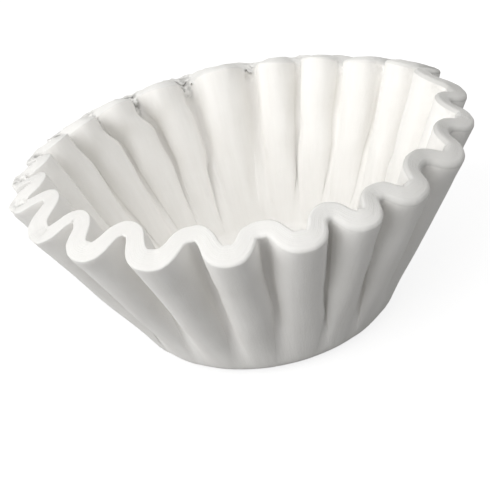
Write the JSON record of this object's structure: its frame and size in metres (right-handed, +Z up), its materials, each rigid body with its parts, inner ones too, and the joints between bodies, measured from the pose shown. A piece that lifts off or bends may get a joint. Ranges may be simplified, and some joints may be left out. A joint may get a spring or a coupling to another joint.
{
  "type": "paper coffee filter",
  "caption": "Flat-bottomed paper coffee filter cup with a deeply fluted flaring wall: a nested stack seen as one thick-walled cup with a wavy cut rim.",
  "frame": {"origin": "middle of the flat underside, on the surface that the cup stands on", "axes": "+Z up out of the open rim; the folds are spaced round Z, with one outward fold on +X"},
  "size_m": [0.1392, 0.1378, 0.0614],
  "materials": {
    "paper": "matte, soft and slightly creped"
  },
  "bodies": {
    "root": {"filter_stack": "paper"}
  },
  "joints": []
}
